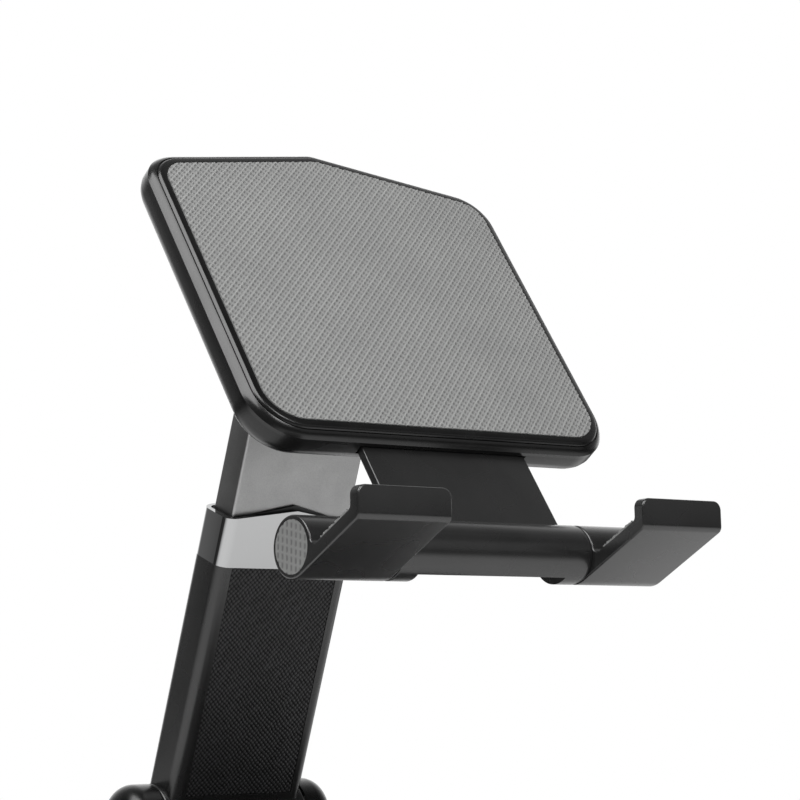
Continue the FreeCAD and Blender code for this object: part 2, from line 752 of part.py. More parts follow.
def back_profile():
    """The rear shell's side, from the split to the back, as (inset, depth)."""
    points = [(0.0, N_SPLIT), (0.0, N_WALL)]
    for i in range(1, BACK_STEPS + 1):
        turn = math.pi / 2 * i / BACK_STEPS
        share = math.sin(turn)
        inset = BACK_INSET * (1 - (1 - share ** 1.6) ** 0.65)
        points.append((inset, N_WALL - (N_WALL - N_BACK) * share))
    return points


def rear_hollow():
    """The rear shell's profile, drawn in by the wall all round."""
    depth = N_SPLIT - N_BACK
    squeeze = (depth - SHELL_WALL) / depth
    sections = [(SHELL_WALL, N_SPLIT + 0.5)]
    for inset, n in back_profile():
        sections.append((inset + SHELL_WALL, N_SPLIT - (N_SPLIT - n) * squeeze))
    return holder_loft(sections)


def holder_back():
    inside_y = -N_BACK - 0.5
    body = holder_loft(back_profile()).cut(rear_hollow())
    for x, z in holder_screw_places():
        body = body.fuse(rod(HOLDER_BOSS_R, (x, BOSS_SPLIT_Y + GAP, z), (x, inside_y, z)))
        body = body.cut(flat_screw_hole(*holder_screw_args(x, z)))
    for x, z in bracket_screw_places():
        body = body.fuse(rod(BRACKET_BOSS_R, (x, BRACKET_SCREW_TIP - 0.8, z), (x, inside_y, z)))
        body = body.cut(rod(M2_R + THREAD, (x, BRACKET_SCREW_TIP - FIT, z), (x, OVERRUN - N_BACK, z)))
    half = STOP_HALF_W + RIB_EXTRA_HALF_W
    rib = box(-half, half, RIB_Y, inside_y, RIB_Z0, RIB_Z1)
    return body.fuse(rib).cut(neck_slot()).removeSplitter()


def holder_pad():
    return holder_slab(PAD_INSET, N_PAD - PAD_T, N_PAD)


def neck_rails():
    """Two channels behind the bezel's plate that guide the neck's edges."""
    rail = box(RAIL_X0, RAIL_X1, -N_PLATE + GAP, RAIL_Y, RAIL_Z0, RAIL_Z1)
    y0 = -NECK_N1 - GAP
    y1 = -NECK_N0 + GAP
    channel = box(0, NECK_HALF_W + FIT, y0, y1, RAIL_Z0 - OVERRUN, RAIL_Z1 + OVERRUN)
    rail = rail.cut(channel)
    return group([rail, mirrored(rail)])


def neck_spring():
    """A leaf between the rear shell and the neck, which holds the neck's place."""
    foot_y = -N_BACK - SHELL_WALL - FIT - BOW_T
    crown_y = -NECK_N0 + BOW_CROWN_GAP
    return bowed_leaf(BOW_HALF, foot_y, crown_y, BOW_T, BOW_Z0, BOW_Z0 + BOW_H)


# ---------------------------------------------------------------- holder hinge
def bracket_ear(side):
    """One ear of the hinge bracket with its web, and the bore to cut from them."""
    x0 = HEAD_EAR_X0
    x1 = HEAD_EAR_X1
    low_z = PIVOT_Z - HEAD_BARREL_R
    high_z = PIVOT_Z + HEAD_BARREL_R
    ear = x_rod(HEAD_BARREL_R, x0, x1, PIVOT_Y, PIVOT_Z)
    ear = ear.fuse(box(x0, x1, PRESS - N_BACK, PIVOT_Y, low_z, high_z))
    bore = x_rod(PIN_R + PRESS, x0 - OVERRUN, x1 + OVERRUN, PIVOT_Y, PIVOT_Z)
    if side < 0:
        return mirrored(ear), mirrored(bore)
    return ear, bore


def hinge_bracket():
    """A screwed-on foot plate with two ears for the hinge bolt."""
    y0 = PRESS - N_BACK
    corners = rectangle_corners(-BRACKET_W / 2, BRACKET_W / 2, BRACKET_Z0, BRACKET_Z1)
    wire = outline(corners, [BRACKET_CORNER_R] * 4, lambda p: Vector(p.x, y0, p.y))
    body = Part.Face(wire).extrude(Vector(0, BRACKET_T, 0))
    for side in SIDES:
        ear, bore = bracket_ear(side)
        body = body.fuse(ear).cut(bore)
    for x, z in bracket_screw_places():
        body = body.cut(rod(M2_R + FIT, (x, y0 - OVERRUN, z), (x, y0 + BRACKET_T + OVERRUN, z)))
    return body.removeSplitter()


def bracket_screws():
    length = 2 * PRESS - N_BACK + BRACKET_T - BRACKET_SCREW_TIP
    screws = []
    for x, z in bracket_screw_places():
        tip = (x, BRACKET_SCREW_TIP, z)
        screws.append(pan_screw(M2_R, length, M2_PAN_R, M2_PAN_H, tip, REARWARDS))
    return group(screws)


def holder_hinge_pin():
    """Hinge bolt: domed head outside the left ear, thread end beyond the right one."""
    seat_x = -HEAD_EAR_X1 - PRESS
    head_x = -HEAD_EAR_X1 - PIN_HEAD_H
    shank = x_rod(PIN_R, seat_x, HEAD_EAR_X1 + PIN_TAIL, PIVOT_Y, PIVOT_Z)
    head = x_rod(PIN_HEAD_R, head_x, seat_x, PIVOT_Y, PIVOT_Z)
    head = head.makeFillet(PIN_HEAD_EDGE_R, edges_on_plane(head, "X", head_x))
    socket = x_rod(PIN_SOCKET_R, head_x - OVERRUN, head_x + PIN_SOCKET_DEPTH, PIVOT_Y, PIVOT_Z)
    return shank.fuse(head).cut(socket).removeSplitter()


def holder_hinge_washers():
    x0 = HEAD_HALF + GAP
    x1 = HEAD_EAR_X0 - GAP
    ring = x_rod(HEAD_WASHER_R, x0, x1, PIVOT_Y, PIVOT_Z)
    ring = ring.cut(x_rod(PIN_R + PRESS, x0 - OVERRUN, x1 + OVERRUN, PIVOT_Y, PIVOT_Z))
    return group([ring, mirrored(ring)])


def holder_hinge_nut():
    x0 = HEAD_EAR_X1 + PRESS
    points = []
    for i in range(7):
        turn = math.radians(60 * i)
        points.append(Vector(x0, PIVOT_Y + NUT_R * math.cos(turn), PIVOT_Z + NUT_R * math.sin(turn)))
    nut = Part.Face(Part.makePolygon(points)).extrude(Vector(NUT_H, 0, 0))
    return nut.cut(x_rod(PIN_R + PRESS, x0 - OVERRUN, x0 + NUT_H + OVERRUN, PIVOT_Y, PIVOT_Z))


# ---------------------------------------------------------------- neck and cross bar
def stop_peg_z():
    return (STOP_Z0 + NECK_Z1) / 2


def neck_plate():
    """The flat plate that carries the cross bar and slides up into the holder."""
    corners = rectangle_corners(-NECK_HALF_W, NECK_HALF_W, NECK_Z0, NECK_Z1)
    radii = [0, 0, NECK_CORNER_R, NECK_CORNER_R]
    wire = outline(corners, radii, lambda p: Vector(p.x, -NECK_N1, p.y))
    body = Part.Face(wire).extrude(Vector(0, NECK_N1 - NECK_N0, 0))
    long_edges = [edge for edge in edges_on_plane(body, "Y", -NECK_N1) if edge.Length > NECK_Z1 / 2]
    body = body.makeFillet(NECK_EDGE_R, [edge for edge in long_edges if edge.BoundBox.XLength < GAP])
    hole_y = PEG_BLIND - NECK_N1
    for side in SIDES:
        for x, z in ((side * NECK_PIN_X, NECK_PIN_Z), (side * STOP_PEG_X, stop_peg_z())):
            body = body.cut(rod(PEG_R + PRESS, (x, hole_y, z), (x, OVERRUN, z)))
    return body


def neck_stop():
    """The catch at the neck's upper end that keeps it in the holder, with two pegs."""
    body = box(-STOP_HALF_W, STOP_HALF_W, -NECK_N0, STOP_Y, STOP_Z0, NECK_Z1)
    peg_y = PEG_BLIND + FIT - NECK_N1
    for side in SIDES:
        x = side * STOP_PEG_X
        body = body.fuse(rod(PEG_R, (x, peg_y, stop_peg_z()), (x, 0, stop_peg_z())))
    return body.removeSplitter()


def cross_bar():
    body = x_rod(BAR_R, -BAR_HALF, BAR_HALF)
    ends = edges_on_plane(body, "X", BAR_HALF) + edges_on_plane(body, "X", -BAR_HALF)
    body = body.makeFillet(BAR_EDGE_R, ends)
    below_flat = box(-FLAT_HALF, FLAT_HALF, -BAR_R, BAR_R, -3 * BAR_R, -FLAT_DEPTH)
    below_flat.rotate(Vector(0, 0, 0), X_AXIS, FLAT_ANGLE)
    half = NECK_HALF_W + PRESS
    y0 = -NECK_N1 - PRESS
    y1 = -NECK_N0 + PRESS
    seat = box(-half, half, y0, y1, NECK_Z0 - PRESS, NECK_SEAT_Z)
    shaft_hole = x_rod(HOOK_SHAFT_R + GAP, -BAR_HALF - OVERRUN, BAR_HALF + OVERRUN)
    body = body.cut(below_flat).cut(seat).cut(shaft_hole)
    for side in SIDES:
        x = side * NECK_PIN_X
        body = body.cut(rod(PEG_R + PRESS, (x, -NECK_N0, NECK_PIN_Z), (x, BAR_R + OVERRUN, NECK_PIN_Z)))
    return body.removeSplitter()


def neck_pins():
    pins = []
    start_y = PEG_BLIND + FIT - NECK_N1
    for side in SIDES:
        x = side * NECK_PIN_X
        pins.append(rod(PEG_R, (x, start_y, NECK_PIN_Z), (x, NECK_PIN_END, NECK_PIN_Z)))
    return group(pins)


def bar_rings():
    """Thin washers between the bar and the hooks."""
    x0 = BAR_HALF + PRESS
    x1 = HOOK_X0 - GAP
    ring = x_rod(BAR_R - RING_SET_BACK, x0, x1)
    ring = ring.cut(x_rod(HOOK_SHAFT_R + GAP, x0 - OVERRUN, x1 + OVERRUN))
    return group([ring, mirrored(ring)])


# ---------------------------------------------------------------- hooks
# the hook's section is drawn in a flat plane, as (forwards, upwards) from the bar's axis
def hook_point(p, x=HOOK_X0):
    """A point of the hook's section, placed in the holder frame."""
    return Vector(x, -p.x, p.y)


def arm_axes():
    """Unit vectors along the hook's arm and down from it."""
    drop = math.radians(HOOK_DROP)
    along = Vector(math.cos(drop), -math.sin(drop), 0)
    down = Vector(-math.sin(drop), -math.cos(drop), 0)
    return along, down


def lip_axes():
    """Unit vectors up the hook's lip and in from its outer face."""
    flare = math.radians(LIP_FLARE)
    up = Vector(math.sin(flare), math.cos(flare), 0)
    inwards = Vector(-math.cos(flare), math.sin(flare), 0)
    return up, inwards


def hook_corners():
    """Corner points of the hook's arm and lip, from the root of the arm's underside."""
    along, down = arm_axes()
    lip_up, lip_in = lip_axes()
    root_low = down * BAR_R
    root_high = down * (BAR_R - HOOK_T)
    bend_low = root_low + along * HOOK_REACH
    tip_out = bend_low + lip_up * LIP_H
    tip_in = tip_out + lip_in * LIP_T
    # the inner bend is where the arm's upper face meets the lip's inner face
    on_inner_face = bend_low + lip_in * LIP_T
    back_down = (on_inner_face - root_high).dot(down) / lip_up.dot(down)
    bend_high = on_inner_face - lip_up * back_down
    return [root_low, bend_low, tip_out, tip_in, bend_high, root_high]


def across_hook(wire):
    return Part.Face(wire).extrude(Vector(HOOK_X1 - HOOK_X0, 0, 0))


def notch_fill():
    """The web between arm and barrel, hollowed so that the notch ends round."""
    along, down = arm_axes()
    depth = BAR_R - HOOK_T - NOTCH_R
    reach = math.sqrt((BAR_R + NOTCH_R) ** 2 - depth ** 2)
    centre = down * depth + along * reach
    root = down * (BAR_R - HOOK_T)
    on_arm = centre + down * NOTCH_R
    on_barrel = centre * (BAR_R / centre.Length)
    corners = [hook_point(p) for p in (root, on_arm, centre, on_barrel, root)]
    web = across_hook(Part.makePolygon(corners))
    return web.cut(Part.makeCylinder(NOTCH_R, HOOK_X1 - HOOK_X0, hook_point(centre), X_AXIS))


def lip_corner_cutters():
    """What to take off to round the lip's two upper corners."""
    lip_up, lip_in = lip_axes()
    low = hook_corners()[2] - lip_up * LIP_CORNER_R
    length = 20.0
    across = hook_point(lip_in, 0)
    cutters = []
    for x, inwards in ((HOOK_X0, 1), (HOOK_X1, -1)):
        axis_start = hook_point(low, x + inwards * LIP_CORNER_R) - across * (length / 2)
        rounding = Part.makeCylinder(LIP_CORNER_R, length, axis_start, across)
        x0 = min(x, x + inwards * LIP_CORNER_R)
        block = Part.makeBox(LIP_CORNER_R, length, LIP_CORNER_R + 2, Vector(x0, -length / 2, 0))
        lean = Placement(hook_point(low, 0), Rotation(X_AXIS, LIP_FLARE))
        block.Placement = lean.multiply(block.Placement)
        cutters.append(block.cut(rounding))
    return group(cutters)


def right_hook():
    points = [(p.x, p.y) for p in hook_corners()]
    radii = [0, BEND_OUTER_R, 0, 0, BEND_INNER_R, 0]
    arm = across_hook(outline(points, radii, hook_point))
    barrel = x_rod(BAR_R, HOOK_X0, HOOK_X1)
    body = barrel.fuse(arm).fuse(notch_fill()).removeSplitter()
    body = body.cut(lip_corner_cutters()).removeSplitter()
    rims = edges_on_plane(body, "X", HOOK_X0) + edges_on_plane(body, "X", HOOK_X1)
    body = body.makeFillet(HOOK_EDGE_R, rims)
    body = body.cut(x_rod(DISC_R + DISC_FIT, HOOK_X1 - DISC_T, HOOK_X1 + OVERRUN))
    body = body.cut(x_rod(HOOK_SHAFT_R, HOOK_X0 - OVERRUN, HOOK_SHAFT_END + FIT))
    hole_start = (SET_SCREW_X, HOOK_SHAFT_R - 0.5, 0)
    body = body.cut(rod(SET_SCREW_R + THREAD, hole_start, (SET_SCREW_X, BAR_R + OVERRUN, 0)))
    return body.removeSplitter()


def right_hook_grip():
    """A thin soft strip bonded on the upper face of the hook's arm."""
    along, down = arm_axes()
    seat = down * (BAR_R - HOOK_T)
    top = down * (BAR_R - HOOK_T - GRIP_T)
    corners = [
        seat + along * GRIP_START,
        seat + along * GRIP_END,
        top + along * GRIP_END,
        top + along * GRIP_START,
    ]
    corners = [hook_point(p, HOOK_X0 + GRIP_SIDE) for p in corners]
    face = Part.Face(Part.makePolygon(corners + corners[:1]))
    return face.extrude(Vector(HOOK_X1 - HOOK_X0 - 2 * GRIP_SIDE, 0, 0))


def right_end_disc():
    return x_rod(DISC_R, HOOK_X1 - DISC_T, HOOK_X1)


def hook_shaft():
    return x_rod(HOOK_SHAFT_R, -HOOK_SHAFT_END, HOOK_SHAFT_END)


def hook_set_screws():
    """Grub screws in the hooks' barrels, which pinch the shaft."""
    x = SET_SCREW_X
    screw = rod(SET_SCREW_R, (x, HOOK_SHAFT_R + THREAD, 0), (x, SET_SCREW_END, 0))
    screw = screw.cut(rod(SET_SOCKET_R, (x, SET_SOCKET_Y, 0), (x, SET_SCREW_END + OVERRUN, 0)))
    return group([screw, mirrored(screw)])


# ---------------------------------------------------------------- write every sub-part
STAND_MAKERS = (
    base_housing,
    base_cover,
    base_cover_screws,
    base_foot_pad,
    base_weight,
    base_top_panel,
    right_hinge_ear,
    hinge_ear_screws,
    base_hinge_shaft,
    base_hinge_washers,
)
ARM_MAKERS = (
    lower_knuckle,
    knuckle_screws,
    outer_tube,
    arm_texture_strip,
    collar,
    collar_liner,
    inner_tube,
    slider_block,
    friction_spring,
    head_knuckle,
    head_knuckle_screws,
)
HOLDER_MAKERS = (
    holder_bezel,
    holder_back,
    holder_pad,
    holder_screws,
    neck_rails,
    neck_spring,
    hinge_bracket,
    bracket_screws,
    holder_hinge_pin,
    holder_hinge_washers,
    holder_hinge_nut,
    neck_plate,
    neck_stop,
    neck_pins,
    cross_bar,
    bar_rings,
    hook_shaft,
    hook_set_screws,
    right_hook,
    right_hook_grip,
    right_end_disc,
)


def write_all(makers, frame):
    """Build each sub-part under its own name; what is made for the right is mirrored too."""
    for make in makers:
        name = make.__name__
        shape = make()
        save(name, shape, frame)
        if name.startswith("right_"):
            save(name.replace("right_", "left_"), mirrored(shape), frame)


write_all(STAND_MAKERS, STAND_FRAME)
write_all(ARM_MAKERS, ARM_FRAME)
write_all(HOLDER_MAKERS, HOLDER_FRAME)
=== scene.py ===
import json
import math

import bpy
import numpy as np
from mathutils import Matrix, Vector
from mathutils.geometry import delaunay_2d_cdt


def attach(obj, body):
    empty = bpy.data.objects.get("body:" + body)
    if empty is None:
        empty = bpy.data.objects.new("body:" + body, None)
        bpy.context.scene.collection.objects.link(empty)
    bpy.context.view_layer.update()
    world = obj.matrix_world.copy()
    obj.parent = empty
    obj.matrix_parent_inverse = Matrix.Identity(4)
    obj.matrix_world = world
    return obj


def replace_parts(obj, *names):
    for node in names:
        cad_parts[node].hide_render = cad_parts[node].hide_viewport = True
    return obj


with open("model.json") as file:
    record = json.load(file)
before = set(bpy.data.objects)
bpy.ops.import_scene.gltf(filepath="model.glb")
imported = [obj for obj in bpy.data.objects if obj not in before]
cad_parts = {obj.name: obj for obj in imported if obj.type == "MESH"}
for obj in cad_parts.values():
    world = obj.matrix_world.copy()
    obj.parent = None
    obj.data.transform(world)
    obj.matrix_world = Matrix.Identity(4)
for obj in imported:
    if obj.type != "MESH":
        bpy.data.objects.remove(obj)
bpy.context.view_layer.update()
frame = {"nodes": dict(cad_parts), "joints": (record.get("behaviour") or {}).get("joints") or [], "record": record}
MM = 0.001      # in metres

# ---------------------------------------------------------------- the design's own frames
joints = {joint["name"]: joint for joint in frame["joints"]}
ACROSS = np.array((1.0, 0.0, 0.0))


class Face:
    """A flat working frame: x across, y up along the part and h out towards the viewer's side."""

    def __init__(self, origin, up, out):
        self.origin = np.array(origin, float)
        self.up = np.array(up, float)
        self.out = np.array(out, float)
        self.across = np.cross(self.up, self.out)

    def place(self, x, y, h):
        """Frame coordinates in metres, as one array of points."""
        return self.origin + np.outer(x, self.across) + np.outer(y, self.up) + np.outer(h, self.out)

    def measure(self, points):
        """The same points as columns x, y and h."""
        moved = points - self.origin
        return np.stack([moved @ self.across, moved @ self.up, moved @ self.out], axis=1)


def node_points(node):
    """A CAD node's vertices, in metres, as one array."""
    mesh = frame["nodes"][node].data
    points = np.zeros(len(mesh.vertices) * 3)
    mesh.vertices.foreach_get("co", points)
    return points.reshape(-1, 3)


holder_up = -np.array(joints["neck_slide"]["axis"])
arm_up = np.array(joints["arm_extension"]["axis"])
HOLDER = Face(joints["hook_fold"]["pos_m"], holder_up, np.cross(ACROSS, holder_up))
ARM = Face(joints["arm_tilt"]["pos_m"], arm_up, np.cross(ACROSS, arm_up))
BASE = Face((0, 0, 0), (0, 1, 0), (0, 0, 1))
UNDERSIDE = Face((0, 0, 0), (0, -1, 0), (0, 0, -1))

HOOK_DROP = math.radians(7.5)     # how far the hooks' arms fall away from the face's normal
hook_along = HOLDER.out * math.cos(HOOK_DROP) - HOLDER.up * math.sin(HOOK_DROP)
hook_out = HOLDER.out * math.sin(HOOK_DROP) + HOLDER.up * math.cos(HOOK_DROP)
GRIP = Face(HOLDER.origin, hook_along, hook_out)
RIGHT_END = Face(HOLDER.origin, (0, 0, 1), ACROSS)
LEFT_END = Face(HOLDER.origin, (0, 0, 1), -ACROSS)


# ---------------------------------------------------------------- node helpers
EDGE_COSINE = 0.80      # a rounded normal this far off the face's own counts as an edge
FLAT_COSINE = 0.985     # and one nearer than this as flat


class Nodes:
    """Short names for building a material."""

    def __init__(self, name):
        self.material = bpy.data.materials.new(name)
        self.material.use_nodes = True
        self.tree = self.material.node_tree
        self.bsdf = self.tree.nodes["Principled BSDF"]
        self.coords = self.tree.nodes.new("ShaderNodeTexCoord").outputs["Object"]

    def add(self, kind, inputs=None, **settings):
        node = self.tree.nodes.new(kind)
        for key, value in settings.items():
            setattr(node, key, value)
        for key, value in (inputs or {}).items():
            self.feed(value, node.inputs[key])
        return node

    def feed(self, value, socket):
        """Link an output to a socket, or set the socket's own value."""
        if isinstance(value, bpy.types.NodeSocket):
            self.tree.links.new(value, socket)
        else:
            socket.default_value = value

    def noise(self, size, detail=3.0, roughness=0.5):
        """A noise whose features are about size metres across."""
        inputs = {"Vector": self.coords, "Scale": 1.0 / size, "Detail": detail, "Roughness": roughness}
        return self.add("ShaderNodeTexNoise", inputs).outputs["Fac"]

    def remap(self, value, low, high, start=0.3, end=0.7):
        """The value from start to end, stretched to run from low to high and held there beyond.

        A noise mostly lies between 0.3 and 0.7, so those are the defaults."""
        inputs = {"Value": value, "From Min": start, "From Max": end, "To Min": low, "To Max": high}
        return self.add("ShaderNodeMapRange", inputs).outputs[0]

    def level(self):
        """From 0 in a textured sheet's pits to 1 on its crests."""
        return self.add("ShaderNodeAttribute", attribute_name="level").outputs["Fac"]

    def blend(self, factor, first, second, mode="MIX"):
        mix = self.add("ShaderNodeMix", data_type="RGBA", blend_type=mode)
        self.feed(factor, mix.inputs["Factor"])
        self.feed(first, mix.inputs["A"])
        self.feed(second, mix.inputs["B"])
        return mix.outputs["Result"]

    def edge_mask(self, radius):
        """White where two faces meet within a radius, black on the flats."""
        rounded = self.add("ShaderNodeBevel", {"Radius": radius}, samples=4)
        flat = self.add("ShaderNodeNewGeometry").outputs["Normal"]
        dot = self.add("ShaderNodeVectorMath", {0: rounded.outputs[0], 1: flat}, operation="DOT_PRODUCT")
        return self.remap(dot.outputs["Value"], 1.0, 0.0, EDGE_COSINE, FLAT_COSINE)

    def set(self, **values):
        names = {
            "colour": "Base Color",
            "roughness": "Roughness",
            "metal": "Metallic",
            "coat": "Coat Weight",
            "coat_roughness": "Coat Roughness",
            "specular": "Specular IOR Level",
        }
        for key, value in values.items():
            self.feed(value, self.bsdf.inputs[names[key]])

    def bump(self, height, depth):
        inputs = {"Height": height, "Distance": depth, "Strength": 1.0}
        normal = self.add("ShaderNodeBump", inputs).outputs[0]
        self.tree.links.new(normal, self.bsdf.inputs["Normal"])

    def surface(self, shader):
        self.tree.links.new(shader, self.tree.nodes["Material Output"].inputs["Surface"])


def grey(value, tint=(1.0, 1.0, 1.0)):
    """A linear grey, slightly tinted, as a colour."""
    return (value * tint[0], value * tint[1], value * tint[2], 1.0)


def cloudy_with_edge_highlight(nodes, dark, light, size, edge, edge_highlight_colour):
    """Base colour that wanders between dark and light, with a painted highlight along the edges that a noise
    breaks up.
    """
    cloud = nodes.remap(nodes.noise(size), 0.0, 1.0)
    body = nodes.blend(cloud, dark, light)
    highlight_breakup = nodes.remap(nodes.noise(size * 0.12, 4.0), 0.1, 1.0, 0.35, 0.7)
    # the paler line is a painted highlight along the edges, broken up by the noise
    mask = nodes.add("ShaderNodeMath", {0: nodes.edge_mask(edge), 1: highlight_breakup}, operation="MULTIPLY")
    return nodes.blend(mask.outputs[0], body, edge_highlight_colour)


# ---------------------------------------------------------------- materials
def satin_black(name, level, roughness, grain, depth, specular=0.5):
    """Moulded or powder-coated black with a fine grain of the given size and depth, and a painted highlight along
    its edges.
    """
    nodes = Nodes(name)
    nodes.set(specular=specular)
    # grey(level * 2.4) is a painted highlight along the edges
    colour = cloudy_with_edge_highlight(nodes, grey(level * 0.85), grey(level * 1.15), 0.012, 0.0004, grey(level * 2.4))
    rubbed = nodes.remap(nodes.noise(0.014, 1.0), roughness - 0.015, roughness + 0.02, 0.2, 0.8)
    nodes.set(colour=colour, roughness=rubbed)
    nodes.bump(nodes.noise(grain, 2.0), depth)
    return nodes.material


def gloss_black():
    """Polished black moulding under a thin clear coat, with a painted highlight along its edges."""
    nodes = Nodes("gloss_black_moulding")
    # grey(0.012) is a painted highlight along the edges
    colour = cloudy_with_edge_highlight(nodes, grey(0.0045), grey(0.0065), 0.02, 0.0003, grey(0.012))
    nodes.set(colour=colour, roughness=nodes.remap(nodes.noise(0.01), 0.22, 0.30))
    nodes.set(coat=0.2, coat_roughness=0.16)
    nodes.bump(nodes.noise(0.003, 2.0), 0.00001)
    return nodes.material


def black_grain():
    """Black coated leather with painted shade darkening its creases, and crests that reflect more."""
    nodes = Nodes("black_cross_grain")
    cloud = nodes.remap(nodes.noise(0.006), 0.0, 1.0)
    colour = nodes.blend(cloud, grey(0.026), grey(0.040, (1.0, 0.985, 1.05)))
    # painted shade: the creases and low places darken towards near black
    colour = nodes.blend(nodes.remap(nodes.level(), 0.0, 1.0, 0.10, 0.75), grey(0.004), colour)
    nodes.set(colour=colour, roughness=nodes.remap(nodes.noise(0.0015), 0.30, 0.42))
    nodes.set(specular=nodes.remap(nodes.level(), 0.12, 0.5, 0.10, 0.75))
    nodes.bump(nodes.noise(0.00018, 3.0), 0.000012)
    return nodes.material


def grey_silicone(name, light):
    """Matt silicone with painted shade darkening its pits, and pale specks of dust."""
    nodes = Nodes(name)
    cloud = nodes.remap(nodes.noise(0.015, 4.0), 0.0, 1.0)
    dull = grey(light * 0.95, (0.99, 1.0, 0.985))
    clean = grey(light * 1.05, (0.99, 1.0, 0.98))
    colour = nodes.blend(cloud, dull, clean)
    # painted shade: the pits darken to grey(light * 0.55)
    colour = nodes.blend(nodes.remap(nodes.level(), 0.0, 1.0, 0.0, 0.9), grey(light * 0.55), colour)
    dust = nodes.remap(nodes.noise(0.0006, 3.0), 0.0, 0.25, 0.6, 0.8)
    colour = nodes.blend(dust, colour, grey(light * 1.25))
    nodes.set(colour=colour, roughness=nodes.remap(nodes.noise(0.003), 0.55, 0.68), specular=0.35)
    nodes.bump(nodes.noise(0.00012, 2.0), 0.000008)
    return nodes.material


def foot_rubber():
    """Dull black rubber."""
    nodes = Nodes("foot_rubber")
    cloud = nodes.remap(nodes.noise(0.01, 4.0), 0.0, 1.0)
    nodes.set(colour=nodes.blend(cloud, grey(0.018), grey(0.03)))
    nodes.set(roughness=nodes.remap(nodes.noise(0.002), 0.7, 0.85))
    nodes.bump(nodes.noise(0.0002, 3.0), 0.00002)
    return nodes.material


def anodised_aluminium():
    """Fine bead-blasted silver, with painted glints on its grains and a painted highlight along its edges."""
    nodes = Nodes("silver_anodised")
    cloud = nodes.remap(nodes.noise(0.02), 0.0, 1.0)
    colour = nodes.blend(cloud, grey(0.295), grey(0.325, (1.0, 1.0, 0.995)))
    # painted glints: random specks of brighter colour on the grains
    painted_glints = nodes.remap(nodes.noise(0.00028, 2.0), 0.0, 1.0)
    colour = nodes.blend(painted_glints, colour, nodes.blend(1.0, colour, grey(1.16), "MULTIPLY"))
    # painted highlight along the edges, towards grey(0.90)
    colour = nodes.blend(nodes.edge_mask(0.0009), colour, grey(0.90))
    nodes.set(colour=colour, metal=1.0, roughness=nodes.remap(nodes.noise(0.004), 0.30, 0.36))
    nodes.bump(nodes.noise(0.00016, 2.0), 0.000016)
    return nodes.material


def polished_chrome():
    """Mirror plating with faint smears."""
    nodes = Nodes("polished_chrome")
    smear = nodes.remap(nodes.noise(0.006, 4.0, 0.6), 0.035, 0.085)
    nodes.set(colour=grey(0.48, (0.99, 0.995, 1.0)), metal=1.0, roughness=smear)
    nodes.bump(nodes.noise(0.004, 2.0), 0.000006)
    return nodes.material


def machined_steel():
    """Turned steel with small dull patches."""
    nodes = Nodes("machined_steel")
    cloud = nodes.remap(nodes.noise(0.003), 0.0, 1.0)
    nodes.set(colour=nodes.blend(cloud, grey(0.38), grey(0.5)), metal=1.0)
    nodes.set(roughness=nodes.remap(nodes.noise(0.0008), 0.25, 0.4))
    nodes.bump(nodes.noise(0.0003, 2.0), 0.00001)
    return nodes.material


def cast_iron():
    """Rough grey iron for the hidden weight."""
    nodes = Nodes("cast_iron")
    cloud = nodes.remap(nodes.noise(0.004, 5.0), 0.0, 1.0)
    nodes.set(colour=nodes.blend(cloud, grey(0.12), grey(0.22)), metal=0.9, roughness=0.6)
    nodes.bump(nodes.noise(0.0009, 5.0), 0.0001)
    return nodes.material


def slide_plastic():
    """Smooth dark plastic for the sliding blocks."""
    nodes = Nodes("slide_plastic")
    cloud = nodes.remap(nodes.noise(0.005), 0.0, 1.0)
    nodes.set(colour=nodes.blend(cloud, grey(0.010), grey(0.016)))
    nodes.set(roughness=nodes.remap(nodes.noise(0.002), 0.4, 0.5))
    nodes.bump(nodes.noise(0.0004, 2.0), 0.00001)
    return nodes.material


FINISHES = {
    "black_housing": satin_black("black_housing_moulding", 0.006, 0.27, 0.00030, 0.000010),
    "black_metal": satin_black("black_powder_coat", 0.014, 0.27, 0.00060, 0.000002, 0.78),
    "black_gloss": gloss_black(),
    "black_grain": black_grain(),
    "grey_silicone": grey_silicone("grey_silicone", 0.285),
    "foot_rubber": foot_rubber(),
    "silver_aluminium": anodised_aluminium(),
    "chrome": polished_chrome(),
    "steel": machined_steel(),
    "weight_iron": cast_iron(),
    "slide_plastic": slide_plastic(),
}
SLOTS = {part["node"]: part["material_slot"] for part in frame["record"]["subparts"]}


# ---------------------------------------------------------------- carried-over CAD nodes
SMOOTH_LIMIT = math.radians(28)     # faces that meet by more than this keep a sharp edge
WELD = 1e-6                         # vertices nearer than this are one


